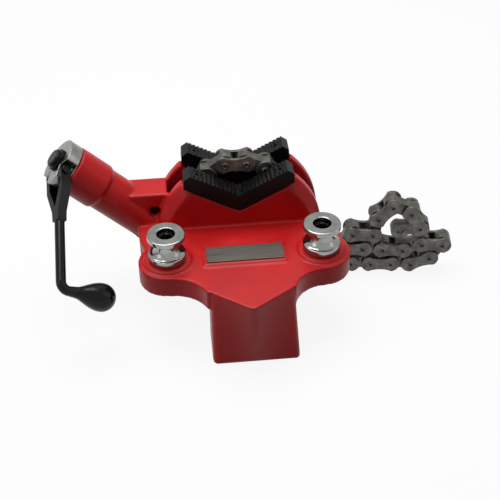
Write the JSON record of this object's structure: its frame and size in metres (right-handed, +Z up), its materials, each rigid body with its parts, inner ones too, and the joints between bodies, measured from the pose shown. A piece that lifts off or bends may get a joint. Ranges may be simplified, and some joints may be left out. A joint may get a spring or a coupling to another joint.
{
  "type": "chain pipe vise",
  "caption": "Bench chain pipe vise: red cast base with slotted round cheeks, serrated V jaws, slanted screw with folding crank, steel spools and a loose leaf chain.",
  "frame": {"origin": "on the bench surface, under the lowest point of the V, in the middle plane of the chain slot", "axes": "+X to the right (the crank is at -X), +Y away from the name plate side, +Z up from the bench"},
  "size_m": [0.3746, 0.1723, 0.1546],
  "materials": {
    "cast_paint": "satin",
    "jaw_steel": "satin",
    "bright_steel": "gloss",
    "nut_steel": "satin",
    "dark_steel": "satin",
    "black_steel": "satin",
    "crank_black": "gloss",
    "plate_metal": "satin",
    "chain_steel": "satin"
  },
  "bodies": {
    "root": {"base_casting": "cast_paint", "front_jaw": "jaw_steel", "rear_jaw": "jaw_steel", "jaw_screws": "dark_steel", "name_plate": "plate_metal", "thrust_washer": "nut_steel", "nut_retaining_screw": "dark_steel", "screw_key": "dark_steel", "chain_guide_pin": "dark_steel"},
    "left_spool": {"left_spool": "bright_steel"},
    "right_spool": {"right_spool": "bright_steel"},
    "nut": {"crank_nut": "nut_steel", "crank_pivot_screws": "dark_steel"},
    "crank": {"crank_arm": "crank_black", "grip_retaining_ring": "dark_steel"},
    "grip": {"crank_grip": "crank_black"},
    "screw": {"chain_screw": "black_steel", "chain_anchor_pin": "dark_steel"},
    "chain_01": {"chain_link_01": "chain_steel"},
    "chain_02": {"chain_link_02": "chain_steel"},
    "chain_03": {"chain_link_03": "chain_steel"},
    "chain_04": {"chain_link_04": "chain_steel"},
    "chain_05": {"chain_link_05": "chain_steel"},
    "chain_06": {"chain_link_06": "chain_steel"},
    "chain_07": {"chain_link_07": "chain_steel"},
    "chain_08": {"chain_link_08": "chain_steel"},
    "chain_09": {"chain_link_09": "chain_steel"},
    "chain_10": {"chain_link_10": "chain_steel"},
    "chain_11": {"chain_link_11": "chain_steel"},
    "chain_12": {"chain_link_12": "chain_steel"},
    "chain_13": {"chain_link_13": "chain_steel"},
    "chain_14": {"chain_link_14": "chain_steel"},
    "chain_15": {"chain_link_15": "chain_steel"},
    "chain_16": {"chain_link_16": "chain_steel"},
    "chain_17": {"chain_link_17": "chain_steel"},
    "chain_18": {"chain_link_18": "chain_steel"},
    "chain_19": {"chain_link_19": "chain_steel"},
    "chain_20": {"chain_link_20": "chain_steel"},
    "chain_21": {"chain_link_21": "chain_steel"},
    "chain_22": {"chain_link_22": "chain_steel"},
    "chain_23": {"chain_link_23": "chain_steel"},
    "chain_24": {"chain_link_24": "chain_steel"},
    "chain_25": {"chain_link_25": "chain_steel"},
    "chain_26": {"chain_link_26": "chain_steel"},
    "chain_27": {"chain_link_27": "chain_steel"},
    "chain_28": {"chain_link_28": "chain_steel"},
    "chain_29": {"chain_link_29": "chain_steel"},
    "chain_30": {"chain_link_30": "chain_steel"},
    "chain_31": {"chain_link_31": "chain_steel"},
    "chain_32": {"chain_link_32": "chain_steel"},
    "chain_33": {"chain_link_33": "chain_steel"},
    "chain_34": {"chain_link_34": "chain_steel"},
    "chain_35": {"chain_link_35": "chain_steel"}
  },
  "joints": [
    {"name": "left_spool_spin", "type": "hinge", "parent": "root", "child": "left_spool", "pos_m": [-0.0678, -0.072, 0.0775], "axis": [0, 0, 1], "continuous": true},
    {"name": "right_spool_spin", "type": "hinge", "parent": "root", "child": "right_spool", "pos_m": [0.0678, -0.072, 0.0775], "axis": [0, 0, 1], "continuous": true},
    {"name": "crank_turn", "type": "hinge", "parent": "root", "child": "nut", "pos_m": [-0.14992, 0, 0.13139], "axis": [0.7314, 0, -0.682], "range_deg": [0, 300]},
    {"name": "crank_fold", "type": "hinge", "parent": "nut", "child": "crank", "pos_m": [-0.15815, -0.01229, 0.1321], "axis": [-0.6301, 0.3827, -0.6757], "range_deg": [0, 109]},
    {"name": "grip_spin", "type": "hinge", "parent": "crank", "child": "grip", "pos_m": [-0.14754, -0.10209, 0.07134], "axis": [-0.7765, -0.3054, 0.5512], "continuous": true},
    {"name": "screw_slide", "type": "slide", "parent": "root", "child": "screw", "axis": [-0.7314, 0, 0.682], "range_m": [0, 0.00333]},
    {"name": "chain_hinge_01", "type": "hinge", "parent": "screw", "child": "chain_01", "pos_m": [-0.09928, 0, 0.08416], "axis": [0, -1, 0], "range_deg": [-0.2971, 0]},
    {"name": "chain_hinge_02", "type": "hinge", "parent": "chain_01", "child": "chain_02", "pos_m": [-0.08534, 0, 0.07117], "axis": [0, -1, 0], "range_deg": [-0.8952, 0]},
    {"name": "chain_hinge_03", "type": "hinge", "parent": "chain_02", "child": "chain_03", "pos_m": [-0.06852, 0, 0.06222], "axis": [0, -1, 0], "range_deg": [-1.25, 0]},
    {"name": "chain_hinge_04", "type": "hinge", "parent": "chain_03", "child": "chain_04", "pos_m": [-0.04989, 0, 0.06618], "axis": [0, -1, 0], "range_deg": [-0.8941, 0]},
    {"name": "chain_hinge_05", "type": "hinge", "parent": "chain_04", "child": "chain_05", "pos_m": [-0.04154, 0, 0.08331], "axis": [0, -1, 0], "range_deg": [0, 0.1188]},
    {"name": "chain_hinge_06", "type": "hinge", "parent": "chain_05", "child": "chain_06", "pos_m": [-0.03955, 0, 0.10225], "axis": [0, -1, 0], "range_deg": [0, 1.16]},
    {"name": "chain_hinge_07", "type": "hinge", "parent": "chain_06", "child": "chain_07", "pos_m": [-0.0273, 0, 0.11685], "axis": [0, -1, 0], "range_deg": [0, 2.05]},
    {"name": "chain_hinge_08", "type": "hinge", "parent": "chain_07", "child": "chain_08", "pos_m": [-0.01115, 0, 0.12694], "axis": [0, -1, 0], "range_deg": [0, 11]},
    {"name": "chain_hinge_09", "type": "hinge", "parent": "chain_08", "child": "chain_09", "pos_m": [0.0079, 0, 0.12694], "axis": [0, -1, 0], "range_deg": [0, 15]},
    {"name": "chain_hinge_10", "type": "hinge", "parent": "chain_09", "child": "chain_10", "pos_m": [0.02556, -0.0002, 0.1198], "axis": [-0.023, -0.9997, 0], "range_deg": [0, 22]},
    {"name": "chain_hinge_11", "type": "hinge", "parent": "chain_10", "child": "chain_11", "pos_m": [0.03855, -0.0005, 0.10587], "axis": [-0.023, -0.9997, 0], "range_deg": [0, 25]},
    {"name": "chain_hinge_12", "type": "hinge", "parent": "chain_11", "child": "chain_12", "pos_m": [0.04316, -0.00066, 0.08739], "axis": [-0.0461, -0.9989, 0], "range_deg": [0, 5]},
    {"name": "chain_hinge_13", "type": "hinge", "parent": "chain_12", "child": "chain_13", "pos_m": [0.04084, -0.00056, 0.06848], "axis": [-0.0461, -0.9989, 0], "range_deg": [0, 5]},
    {"name": "chain_hinge_14", "type": "hinge", "parent": "chain_13", "child": "chain_14", "pos_m": [0.03786, -0.00038, 0.04966], "axis": [-0.0691, -0.9976, 0], "range_deg": [0, 5]},
    {"name": "chain_hinge_15", "type": "hinge", "parent": "chain_14", "child": "chain_15", "pos_m": [0.04018, -0.00054, 0.03076], "axis": [-0.0691, -0.9976, 0], "range_deg": [0, 5]},
    {"name": "chain_hinge_16", "type": "hinge", "parent": "chain_15", "child": "chain_16", "pos_m": [0.05161, -0.00147, 0.01554], "axis": [-0.092, -0.9958, 0], "range_deg": [0, 5]},
    {"name": "chain_hinge_17", "type": "hinge", "parent": "chain_16", "child": "chain_17", "pos_m": [0.06932, -0.0031, 0.00872], "axis": [-0.092, -0.9958, 0], "range_deg": [0, 10]},
    {"name": "chain_hinge_18", "type": "hinge", "parent": "chain_17", "child": "chain_18", "pos_m": [0.08827, -0.00508, 0.00872], "axis": [-0.1149, -0.9934, 0], "range_deg": [0, 10]},
    {"name": "chain_hinge_19", "type": "hinge", "parent": "chain_18", "child": "chain_19", "pos_m": [0.10719, -0.00726, 0.00872], "axis": [-0.1149, -0.9934, 0], "range_deg": [0, 2]},
    {"name": "chain_hinge_20", "type": "hinge", "parent": "chain_19", "child": "chain_20", "pos_m": [0.12611, -0.00945, 0.00872], "axis": [-0.1149, -0.9934, 0], "range_deg": [0, 2]},
    {"name": "chain_hinge_21", "type": "hinge", "parent": "chain_20", "child": "chain_21", "pos_m": [0.14504, -0.01164, 0.00872], "axis": [-0.1149, -0.9934, 0], "range_deg": [-1, 0]},
    {"name": "chain_hinge_22", "type": "hinge", "parent": "chain_21", "child": "chain_22", "pos_m": [0.16396, -0.01383, 0.00872], "axis": [-0.1149, -0.9934, 0], "range_deg": [-20, 0]},
    {"name": "chain_hinge_23", "type": "hinge", "parent": "chain_22", "child": "chain_23", "pos_m": [0.18151, -0.01586, 0.01585], "axis": [-0.1149, -0.9934, 0], "range_deg": [-35, 0]},
    {"name": "chain_hinge_24", "type": "hinge", "parent": "chain_23", "child": "chain_24", "pos_m": [0.19236, -0.01712, 0.03146], "axis": [-0.1149, -0.9934, 0], "range_deg": [-35, 0]},
    {"name": "chain_hinge_25", "type": "hinge", "parent": "chain_24", "child": "chain_25", "pos_m": [0.17344, -0.01493, 0.03179], "axis": [-0.1149, -0.9934, 0], "range_deg": [-43, 0]},
    {"name": "chain_hinge_26", "type": "hinge", "parent": "chain_25", "child": "chain_26", "pos_m": [0.15566, -0.01287, 0.02527], "axis": [-0.1149, -0.9934, 0], "range_deg": [-2, 0]},
    {"name": "chain_hinge_27", "type": "hinge", "parent": "chain_26", "child": "chain_27", "pos_m": [0.13674, -0.01068, 0.02594], "axis": [-0.1149, -0.9934, 0], "range_deg": [0, 1]},
    {"name": "chain_hinge_28", "type": "hinge", "parent": "chain_27", "child": "chain_28", "pos_m": [0.11783, -0.0085, 0.0266], "axis": [-0.1149, -0.9934, 0], "range_deg": [0, 1]},
    {"name": "chain_hinge_29", "type": "hinge", "parent": "chain_28", "child": "chain_29", "pos_m": [0.09891, -0.00631, 0.02694], "axis": [-0.1149, -0.9934, 0], "range_deg": [0, 10]},
    {"name": "chain_hinge_30", "type": "hinge", "parent": "chain_29", "child": "chain_30", "pos_m": [0.1078, -0.00734, 0.04376], "axis": [-0.1149, -0.9934, 0], "range_deg": [0, 10]},
    {"name": "chain_hinge_31", "type": "hinge", "parent": "chain_30", "child": "chain_31", "pos_m": [0.12671, -0.00952, 0.04309], "axis": [-0.1149, -0.9934, 0], "range_deg": [-1, 10]},
    {"name": "chain_hinge_32", "type": "hinge", "parent": "chain_31", "child": "chain_32", "pos_m": [0.13096, -0.01002, 0.06165], "axis": [-0.1149, -0.9934, 0], "range_deg": [0, 10]},
    {"name": "chain_hinge_33", "type": "hinge", "parent": "chain_32", "child": "chain_33", "pos_m": [0.14387, -0.01151, 0.07559], "axis": [-0.1149, -0.9934, 0], "range_deg": [0, 40]},
    {"name": "chain_hinge_34", "type": "hinge", "parent": "chain_33", "child": "chain_34", "pos_m": [0.16116, -0.01351, 0.06784], "axis": [-0.1149, -0.9934, 0], "range_deg": [-15, 22]},
    {"name": "chain_hinge_35", "type": "hinge", "parent": "chain_34", "child": "chain_35", "pos_m": [0.17033, -0.01457, 0.05118], "axis": [-0.1149, -0.9934, 0], "range_deg": [-18, 10]}
  ],
  "couplings": [
    {"joint": "screw_slide", "follows": "crank_turn", "m_per_rad": 0.00063662},
    {"joint": "chain_hinge_01", "follows": "crank_turn", "ratio": -0.00095496},
    {"joint": "chain_hinge_02", "follows": "crank_turn", "ratio": -0.0029448},
    {"joint": "chain_hinge_03", "follows": "crank_turn", "ratio": -0.0041305},
    {"joint": "chain_hinge_04", "follows": "crank_turn", "ratio": -0.002941},
    {"joint": "chain_hinge_05", "follows": "crank_turn", "ratio": 0.00036188},
    {"joint": "chain_hinge_06", "follows": "crank_turn", "ratio": 0.0038319},
    {"joint": "chain_hinge_07", "follows": "crank_turn", "ratio": 0.0067775}
  ]
}
